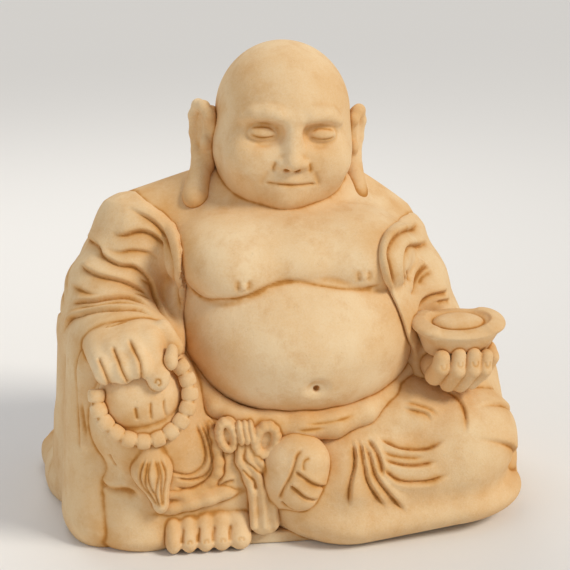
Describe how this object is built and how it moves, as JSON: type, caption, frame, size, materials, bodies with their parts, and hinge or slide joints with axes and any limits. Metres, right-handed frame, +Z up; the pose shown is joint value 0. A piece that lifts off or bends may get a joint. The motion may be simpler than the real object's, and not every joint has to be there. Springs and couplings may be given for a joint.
{
  "type": "buddha statue",
  "caption": "Seated laughing-monk garden statue in cast stone, with draped robe, bare belly, prayer beads over one knee and a boat-shaped ingot in the other hand",
  "frame": {"origin": "On the ground, on the flat underside of the base slab, below its middle", "axes": "+Z up, the statue faces -Y, +X towards the statue's own left hand (the viewer's right)"},
  "size_m": [0.4717, 0.3294, 0.4438],
  "materials": {
    "skin_stone": "matte",
    "robe_stone": "matte",
    "ornament_stone": "matte",
    "base_stone": "matte"
  },
  "bodies": {
    "root": {"base_slab": "base_stone", "torso": "skin_stone", "head": "skin_stone", "right_ear": "skin_stone", "left_ear": "skin_stone", "back_robe": "robe_stone", "right_sleeve": "robe_stone", "right_sleeve_drape": "robe_stone", "left_sleeve": "robe_stone", "left_sleeve_drape": "robe_stone", "right_hand": "skin_stone", "left_hand": "skin_stone", "ingot": "ornament_stone", "ingot_dome": "ornament_stone", "prayer_beads": "ornament_stone", "guru_bead": "ornament_stone", "bead_tassel": "ornament_stone", "right_leg": "robe_stone", "left_leg": "robe_stone", "right_foot": "skin_stone", "left_foot": "skin_stone", "waistband": "robe_stone", "sash_bow": "robe_stone", "sash_tails": "robe_stone", "trouser_hem": "robe_stone"}
  },
  "joints": []
}
